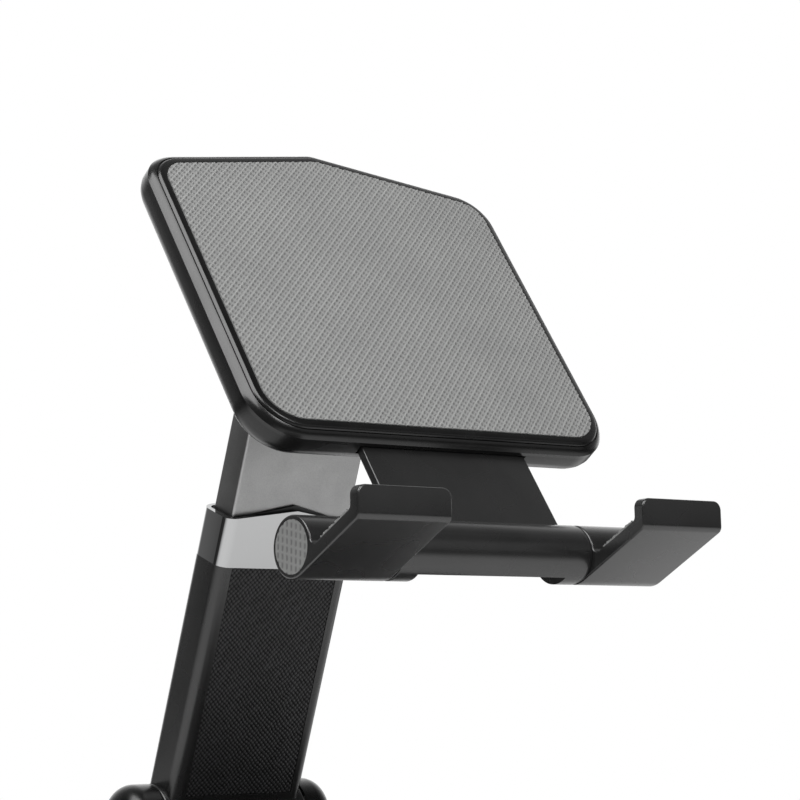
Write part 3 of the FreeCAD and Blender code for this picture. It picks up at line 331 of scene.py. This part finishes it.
def smooth_by_angle(limit):
    """A modifier's node group: weld, then shade smooth wherever faces meet by less than limit."""
    group = bpy.data.node_groups.new("smooth_by_angle", "GeometryNodeTree")
    group.interface.new_socket("Geometry", in_out="INPUT", socket_type="NodeSocketGeometry")
    group.interface.new_socket("Geometry", in_out="OUTPUT", socket_type="NodeSocketGeometry")
    nodes, links = group.nodes, group.links
    source = nodes.new("NodeGroupInput")
    target = nodes.new("NodeGroupOutput")
    weld = nodes.new("GeometryNodeMergeByDistance")
    weld.inputs["Distance"].default_value = WELD
    plain = nodes.new("GeometryNodeRemoveAttribute")
    plain.inputs["Name"].default_value = "custom_normal"
    faces = nodes.new("GeometryNodeSetShadeSmooth")
    faces.domain = "FACE"
    angle = nodes.new("GeometryNodeInputMeshEdgeAngle")
    small = nodes.new("FunctionNodeCompare")
    small.data_type = "FLOAT"
    small.operation = "LESS_THAN"
    small.inputs["B"].default_value = limit
    edges = nodes.new("GeometryNodeSetShadeSmooth")
    edges.domain = "EDGE"
    links.new(source.outputs[0], weld.inputs["Geometry"])
    links.new(weld.outputs[0], plain.inputs["Geometry"])
    links.new(plain.outputs[0], faces.inputs["Geometry"])
    links.new(angle.outputs["Unsigned Angle"], small.inputs["A"])
    links.new(faces.outputs[0], edges.inputs["Geometry"])
    links.new(small.outputs[0], edges.inputs["Shade Smooth"])
    links.new(edges.outputs[0], target.inputs[0])
    return group


SMOOTH = smooth_by_angle(SMOOTH_LIMIT)


def shade_smooth(piece):
    piece.modifiers.new("smooth", "NODES").node_group = SMOOTH


def dress_cad_nodes():
    """Every CAD node gets its finish and smooth shading over its rounded faces."""
    for name, node in frame["nodes"].items():
        node.data.materials.clear()
        node.data.materials.append(FINISHES[SLOTS[name]])
        shade_smooth(node)


dress_cad_nodes()


# ---------------------------------------------------------------- sheets with a raised texture
FLATNESS = 0.05 * MM        # a flat top's vertices lie within this of its height
ROUNDING = 7                # decimals of a metre that tell two outline corners apart
STRAIGHT = 1e-12            # twice the area of a triangle whose corners count as one line
GRID_MARGIN = 0.45          # how far the grid stays inside the outline, in grid steps


def turn(a, b, c):
    """Twice the area of the triangle a, b, c: positive when it runs anticlockwise."""
    return (b[0] - a[0]) * (c[1] - a[1]) - (b[1] - a[1]) * (c[0] - a[0])


def half_outline(run):
    """The convex chain along one side of sorted points, without its last corner."""
    kept = []
    for point in run:
        while len(kept) > 1 and turn(kept[-2], kept[-1], point) <= STRAIGHT:
            kept.pop()
        kept.append(point)
    return kept[:-1]


def convex_outline(points):
    """The corners of the smallest convex loop round flat points, anticlockwise."""
    unique = sorted({(round(x, ROUNDING), round(y, ROUNDING)) for x, y in points})
    return np.array(half_outline(unique) + half_outline(unique[::-1]))


def node_face(node, face):
    """Outline, top height and bottom height of a flat node, in a working frame."""
    local = face.measure(node_points(node))
    top = local[:, 2].max()
    on_top = local[local[:, 2] > top - FLATNESS]
    return convex_outline(on_top[:, :2]), top, local[:, 2].min()


def resample(loop, step):
    """The loop with extra points, so that none are further apart than step."""
    points = []
    for start, end in zip(loop, np.roll(loop, -1, axis=0)):
        count = max(1, int(math.ceil(np.linalg.norm(end - start) / step)))
        for i in range(count):
            points.append(start + (end - start) * i / count)
    return np.array(points)


def depth_inside(points, loop):
    """How far each point is inside a convex loop; negative outside."""
    depth = np.full(len(points), np.inf)
    for start, end in zip(loop, np.roll(loop, -1, axis=0)):
        along = (end - start) / np.linalg.norm(end - start)
        inwards = np.array((-along[1], along[0]))
        depth = np.minimum(depth, (points - start) @ inwards)
    return depth


def grid_quads(loop, step):
    """A square grid over the loop, as points, the quads well inside it, which cells they
    fill, and the grid's low corner."""
    low = loop.min(axis=0)
    count = np.ceil((loop.max(axis=0) - low) / step).astype(int) + 1
    xs = low[0] + np.arange(count[0]) * step
    ys = low[1] + np.arange(count[1]) * step
    points = np.stack(np.meshgrid(xs, ys, indexing="ij"), axis=-1)
    inside = depth_inside(points.reshape(-1, 2), loop).reshape(count) > GRID_MARGIN * step
    full = inside[:-1, :-1] & inside[1:, :-1] & inside[1:, 1:] & inside[:-1, 1:]
    index = np.arange(inside.size).reshape(count)
    corners = (index[:-1, :-1], index[1:, :-1], index[1:, 1:], index[:-1, 1:])
    quads = np.stack([corner[full] for corner in corners], axis=1)
    return points.reshape(-1, 2), quads, full, low


def border_edges(quads):
    """Edges that belong to one quad only."""
    pairs = np.concatenate([quads[:, [i, (i + 1) % 4]] for i in range(4)])
    ordered = np.sort(pairs, axis=1)
    _, first, counts = np.unique(ordered, axis=0, return_index=True, return_counts=True)
    return pairs[first[counts == 1]]


def rim_triangles(points, quads, rim, filled):
    """Triangles that fill the band between the quads' border and the rim.

    Corners are counted through points and then on through rim; filled says whether a place
    is covered by the quads already."""
    inner_edges = border_edges(quads)
    inner = np.unique(inner_edges)
    lookup = {int(v): i for i, v in enumerate(inner)}
    band = [Vector(p) for p in points[inner]] + [Vector(p) for p in rim]
    edges = [(lookup[int(a)], lookup[int(b)]) for a, b in inner_edges]
    start = len(inner)
    edges += [(start + i, start + (i + 1) % len(rim)) for i in range(len(rim))]
    inside_only = 1
    placed, _, triangles, origins, _, _ = delaunay_2d_cdt(band, edges, [], inside_only, 1e-9)
    corner = {}
    for i, sources in enumerate(origins):
        source = sources[0]
        corner[i] = int(inner[source]) if source < start else len(points) + source - start
    faces = []
    for triangle in triangles:
        centre = sum((placed[i] for i in triangle), Vector((0, 0))) / 3
        if not filled(np.array(centre)):
            faces.append(tuple(corner[i] for i in triangle))
    return faces


def clipped_grid(loop, step):
    """A fine flat mesh that fills a convex loop: quads within, triangles along the rim.

    Returns points, faces and the indices of the rim's own points, in order."""
    points, quads, full, low = grid_quads(loop, step)
    used, packed = np.unique(quads, return_inverse=True)
    points = points[used]
    quads = packed.reshape(quads.shape)
    rim = resample(loop, step)

    def filled(place):
        cell = ((place - low) // step).astype(int)
        return (cell >= 0).all() and (cell < full.shape).all() and full[tuple(cell)]

    faces = [tuple(quad) for quad in quads.tolist()]
    faces += rim_triangles(points, quads, rim, filled)
    rim_index = np.arange(len(rim)) + len(points)
    return np.concatenate([points, rim]), faces, rim_index


def new_piece(name, points, faces, body, slot):
    """A mesh piece in the CAD frame that rides on a body and takes a slot's finish."""
    mesh = bpy.data.meshes.new(name)
    mesh.from_pydata([tuple(p) for p in points], [], faces)
    mesh.validate()
    for polygon in mesh.polygons:
        polygon.use_smooth = True
    piece = bpy.data.objects.new(name, mesh)
    bpy.context.scene.collection.objects.link(piece)
    mesh.materials.append(FINISHES[slot])
    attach(piece, body)
    return piece


def textured_sheet(name, node, face, relief, step, body):
    """A closed sheet in a CAD node's place, its top raised and lowered by relief(x, y).

    The attribute "level" holds the relief for the materials, from 0 in pits to 1 on crests; the silicone and the
    grain paint shade into the low places from it."""
    loop, top, bottom = node_face(node, face)
    flat, faces, rim = clipped_grid(loop, step)
    heights = top + relief(flat[:, 0], flat[:, 1])
    upper = face.place(flat[:, 0], flat[:, 1], heights)
    skirt = flat[rim]
    lower = face.place(skirt[:, 0], skirt[:, 1], np.full(len(rim), bottom))
    base = len(flat)
    count = len(rim)
    for i in range(count):
        j = (i + 1) % count
        faces.append((base + i, base + j, int(rim[j]), int(rim[i])))
    faces.append(tuple(range(base + count - 1, base - 1, -1)))
    piece = new_piece(name, np.concatenate([upper, lower]), faces, body, SLOTS[node])
    raised = (heights - heights.min()) / np.ptp(heights)
    sides = np.full(len(rim), 0.5)
    level = piece.data.attributes.new("level", "FLOAT", "POINT")
    level.data.foreach_set("value", np.concatenate([raised, sides]).astype(np.float32))
    shade_smooth(piece)
    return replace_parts(piece, node)


# ---------------------------------------------------------------- relief patterns
# Each relief takes positions on the sheet and gives heights: nought at the top, negative below.
CELL_X = 2.331 * MM         # repeat of the silicone's pattern, across and up
CELL_Y = 2.395 * MM
SILICONE_DEPTH = 0.30 * MM
RIDGE_WAVE = 0.04           # how far the ridges swing from side to side, in ridge pitches
RIDGE_WIDTH = 0.10          # half width of a ridge, in ridge pitches
FLAT_LEVEL = 0.72           # height of the flats between the ridges, from 0 to 1

GRAIN_DEPTH = 0.20 * MM
GRAIN_FIRST = (0.785, -0.69)    # creases per millimetre across and up, for each of the diagonals
GRAIN_SECOND = (0.70, 0.76)
GRAIN_SHARPNESS = 0.7           # below 1 the creases are narrow and the lozenges broad

DASH_PITCH = 1.67 * MM      # between columns of slots
DASH_RISE = 1.85 * MM       # from slot to slot within a column
DASH_SHIFT = 0.18           # each column's step up from the last, in rises
DASH_LENGTH = 0.60 * MM     # of a slot's straight part
DASH_RADIUS = 0.60 * MM     # where its rounded sides reach the top
DASH_SIDE = 0.55 * MM       # width of those sides
DASH_DEPTH = 0.14 * MM

DIMPLE_PITCH = 2.6 * MM
DIMPLE_RADIUS = 0.95 * MM
DIMPLE_SIDE = 0.5 * MM
DIMPLE_DEPTH = 0.3 * MM


def pit(phase, along, centre, half_width, half_length):
    """1 in the middle of a squarish pit between two ridges, falling to 0 round it."""
    across = (np.mod(phase, 1) - centre) / half_width
    return np.exp(-across ** 4 - (along / half_length) ** 4)


def silicone_relief(x, y):
    """Thin wavy diagonal ridges, and between them a deep and a shallow pit side by side.

    The ridges lie at whole numbers of phase and the pits at whole numbers of cross_phase."""
    cross_phase = x / CELL_X + y / CELL_Y
    swing = np.cos(2 * np.pi * cross_phase)
    phase = np.mod(x / CELL_X - y / CELL_Y + RIDGE_WAVE * swing + 0.5, 1) - 0.5
    along = np.mod(cross_phase + 0.5, 1) - 0.5
    ridge = np.exp(-(phase / RIDGE_WIDTH) ** 2)
    deep = pit(phase, along, 0.29, 0.165, 0.30)
    shallow = pit(phase, along, 0.73, 0.135, 0.28)
    level = FLAT_LEVEL + (1 - FLAT_LEVEL) * ridge - FLAT_LEVEL * deep - 0.60 * shallow
    return -SILICONE_DEPTH * (1 - level)


def drift(x, y, seed, size):
    """A slow wander between about -1 and 1, from a few seeded waves of about size long."""
    chance = np.random.default_rng(seed)
    total = np.zeros_like(x)
    for _ in range(6):
        angle, phase = chance.uniform(0, 2 * np.pi, 2)
        wave = chance.uniform(0.7, 1.6) / size
        total += np.sin(2 * np.pi * wave * (x * np.cos(angle) + y * np.sin(angle)) + phase)
    return total / 3.0


def creases(x, y, rates, wander):
    """0 along parallel creases and 1 half-way between them."""
    phase = (rates[0] * x + rates[1] * y) / MM + wander
    return np.abs(np.sin(np.pi * phase)) ** GRAIN_SHARPNESS


def cross_grain(x, y):
    """Fine creases along two diagonals, slightly irregular, with rounded lozenges between them."""
    first = creases(x, y, GRAIN_FIRST, 0.10 * drift(x, y, 3, 7 * MM))
    second = creases(x, y, GRAIN_SECOND, 0.14 * drift(x, y, 5, 5 * MM))
    strength = np.clip(0.86 + 0.20 * drift(x, y, 8, 3 * MM), 0, 1)
    return -GRAIN_DEPTH * (1 - first * (1 - strength * (1 - second)))


def dashed_relief(x, y):
    """Short soft upright slots in columns, each a little higher than the last."""
    column = np.floor(x / DASH_PITCH + 0.5)
    across = x - column * DASH_PITCH
    place = np.mod(y / DASH_RISE + DASH_SHIFT * column, 1.0) - 0.5
    beyond = np.maximum(np.abs(place * DASH_RISE) - DASH_LENGTH / 2, 0.0)
    distance = np.hypot(across, beyond)
    return -DASH_DEPTH * np.clip((DASH_RADIUS - distance) / DASH_SIDE, 0, 1)


def dimpled_relief(x, y):
    """Round pits on a staggered grid, for grip."""
    row = np.floor(y / DIMPLE_PITCH + 0.5)
    across = np.mod(x / DIMPLE_PITCH + 0.5 * np.mod(row, 2), 1.0) - 0.5
    distance = np.hypot(across, y / DIMPLE_PITCH - row) * DIMPLE_PITCH
    return -DIMPLE_DEPTH * np.clip((DIMPLE_RADIUS - distance) / DIMPLE_SIDE, 0, 1)


# ---------------------------------------------------------------- soft and textured pieces
PAD_STEP = 0.19 * MM        # spacing of each sheet's vertices
STRIP_STEP = 0.16 * MM
PANEL_STEP = 0.24 * MM
FOOT_STEP = 0.42 * MM
GRIP_STEP = 0.15 * MM
DISC_STEP = 0.08 * MM
SHADED_DISC_SILICONE = grey_silicone("disc_silicone_painted_shade", 0.21)     # a darker copy of the pad's silicone: painted shade for the stronger light on the discs

textured_sheet("silicone_pad", "holder_pad", HOLDER, silicone_relief, PAD_STEP, "holder")
textured_sheet("arm_grain_strip", "arm_texture_strip", ARM, cross_grain, STRIP_STEP, "lower_arm")
textured_sheet("base_grain_panel", "base_top_panel", BASE, cross_grain, PANEL_STEP, "base")
textured_sheet("foot_grip_pad", "base_foot_pad", UNDERSIDE, dimpled_relief, FOOT_STEP, "base")
for side, end in (("right", RIGHT_END), ("left", LEFT_END)):
    textured_sheet(f"{side}_grip_strip", f"{side}_hook_grip", GRIP, silicone_relief, GRIP_STEP, "hooks")
    disc = textured_sheet(f"{side}_dashed_disc", f"{side}_end_disc", end, dashed_relief, DISC_STEP, "hooks")
    # painted shade: the discs take the darker copy of the pad's silicone
    disc.data.materials[0] = SHADED_DISC_SILICONE


# ---------------------------------------------------------------- floor, light and camera
FLOOR_SIZE = 6.0
FADE_START = 0.08       # from here to FADE_END, in metres from the middle, the floor runs out into white
FADE_END = 0.30
GLOW_NEAR = 1.05        # how bright the white part looks to the object itself, near and far
GLOW_FAR = 0.04
GLOW_END = 0.65         # where it has fallen to GLOW_FAR


def make_floor():
    """A pale studio floor: it runs out into white for the camera and into a dim room for the rest.

    Seen from beneath it is clear, so that the object's underside shows."""
    mesh = bpy.data.meshes.new("studio_floor")
    half = FLOOR_SIZE / 2
    corners = [(-half, -half, 0), (half, -half, 0), (half, half, 0), (-half, half, 0)]
    mesh.from_pydata(corners, [], [(0, 1, 2, 3)])
    floor = bpy.data.objects.new("studio_floor", mesh)
    bpy.context.scene.collection.objects.link(floor)
    nodes = Nodes("studio_floor")
    nodes.set(colour=grey(0.86), roughness=0.6, specular=0.2)
    radius = nodes.add("ShaderNodeVectorMath", {0: nodes.coords}, operation="LENGTH").outputs["Value"]
    away = nodes.remap(radius, 0.0, 1.0, FADE_START, FADE_END)
    lit = nodes.remap(radius, GLOW_NEAR, GLOW_FAR, FADE_END, GLOW_END)
    seen = nodes.add("ShaderNodeLightPath").outputs["Is Camera Ray"]
    glow = nodes.add("ShaderNodeMix", {"Factor": seen, "A": lit, "B": 1.0}).outputs["Result"]
    white = nodes.add("ShaderNodeEmission", {"Color": grey(1.0), "Strength": glow}).outputs[0]
    top = nodes.add("ShaderNodeMixShader", {0: away, 1: nodes.bsdf.outputs[0], 2: white}).outputs[0]
    below = nodes.add("ShaderNodeNewGeometry").outputs["Backfacing"]
    clear = nodes.add("ShaderNodeBsdfTransparent").outputs[0]
    nodes.surface(nodes.add("ShaderNodeMixShader", {0: below, 1: top, 2: clear}).outputs[0])
    mesh.materials.append(nodes.material)


AZIMUTH = math.radians(-37.6)
ELEVATION = math.radians(-5.7)
DISTANCE = 0.56
LENS = 110.1            # in millimetres, on a sensor of the width below
SENSOR = 36.0
AIM_OFFSET = Vector((-0.0173, 0.0081, 0.0347))     # from the cross bar's middle
BAR_MIDDLE = Vector(joints["hook_fold"]["pos_m"])


def view_axis():
    """The unit vector from the aim point back to the camera."""
    level = math.cos(ELEVATION)
    return Vector((math.sin(AZIMUTH) * level, -math.cos(AZIMUTH) * level, math.sin(ELEVATION)))


def point_along(thing, direction):
    """Turns a camera or light, which looks along its own -Z, to look along a direction."""
    thing.rotation_mode = "QUATERNION"
    thing.rotation_quaternion = direction.to_track_quat("-Z", "Y")


def make_camera():
    data = bpy.data.cameras.new("camera")
    data.lens = LENS
    data.sensor_width = SENSOR
    data.clip_start = 0.01
    camera = bpy.data.objects.new("camera", data)
    bpy.context.scene.collection.objects.link(camera)
    camera.location = BAR_MIDDLE + AIM_OFFSET + view_axis() * DISTANCE
    point_along(camera, -view_axis())
    bpy.context.scene.camera = camera


# how bright the room is, by the cosine of the angle from the camera's line of sight
ROOM = ((-1.0, 0.10), (0.0, 0.02), (0.18, 0.035), (0.30, 0.14), (0.55, 0.28), (0.80, 1.0))


def curve_place(cosine):
    """A cosine from -1 to 1 on a curve's scale from 0 to 1."""
    return (cosine + 1) / 2


def make_world():
    """White to the camera; to the object, a bright backdrop behind and a dim room elsewhere."""
    world = bpy.data.worlds.new("studio")
    bpy.context.scene.world = world
    world.use_nodes = True
    tree = world.node_tree
    background = tree.nodes["Background"]
    coords = tree.nodes.new("ShaderNodeTexCoord")
    facing = tree.nodes.new("ShaderNodeVectorMath")
    facing.operation = "DOT_PRODUCT"
    facing.inputs[1].default_value = -view_axis()
    tree.links.new(coords.outputs["Generated"], facing.inputs[0])
    spread = tree.nodes.new("ShaderNodeFloatCurve")
    curve = spread.mapping.curves[0]
    curve.points[0].location = (curve_place(ROOM[0][0]), ROOM[0][1])
    curve.points[1].location = (curve_place(ROOM[-1][0]), ROOM[-1][1])
    for cosine, level in ROOM[1:-1]:
        curve.points.new(curve_place(cosine), level)
    for point in curve.points:
        point.handle_type = "VECTOR"
    spread.mapping.update()
    share = tree.nodes.new("ShaderNodeMath")
    share.operation = "MULTIPLY_ADD"
    share.inputs[1].default_value = 0.5
    share.inputs[2].default_value = 0.5
    tree.links.new(facing.outputs["Value"], share.inputs[0])
    tree.links.new(share.outputs[0], spread.inputs["Value"])
    path = tree.nodes.new("ShaderNodeLightPath")
    choose = tree.nodes.new("ShaderNodeMix")
    tree.links.new(path.outputs["Is Camera Ray"], choose.inputs["Factor"])
    tree.links.new(spread.outputs[0], choose.inputs["A"])
    choose.inputs["B"].default_value = 1.0
    tree.links.new(choose.outputs["Result"], background.inputs["Strength"])
    background.inputs["Color"].default_value = (1, 1, 1, 1)


def softbox(name, offset, size, power):
    """A soft rectangular light at an offset from the cross bar, turned to face it."""
    data = bpy.data.lights.new(name, "AREA")
    data.shape = "RECTANGLE"
    data.size, data.size_y = size
    data.energy = power
    light = bpy.data.objects.new(name, data)
    bpy.context.scene.collection.objects.link(light)
    light.location = BAR_MIDDLE + Vector(offset)
    point_along(light, -Vector(offset))


make_floor()
make_world()
softbox("left_softbox", (-0.42, -0.10, 0.62), (0.75, 0.55), 6.6)
softbox("front_fill", (0.05, -1.0, 0.75), (0.5, 0.5), 7.0)
softbox("right_panel", (0.65, -0.84, 0.32), (0.6, 0.5), 0.24)
make_camera()
bpy.context.scene.view_settings.view_transform = "Standard"
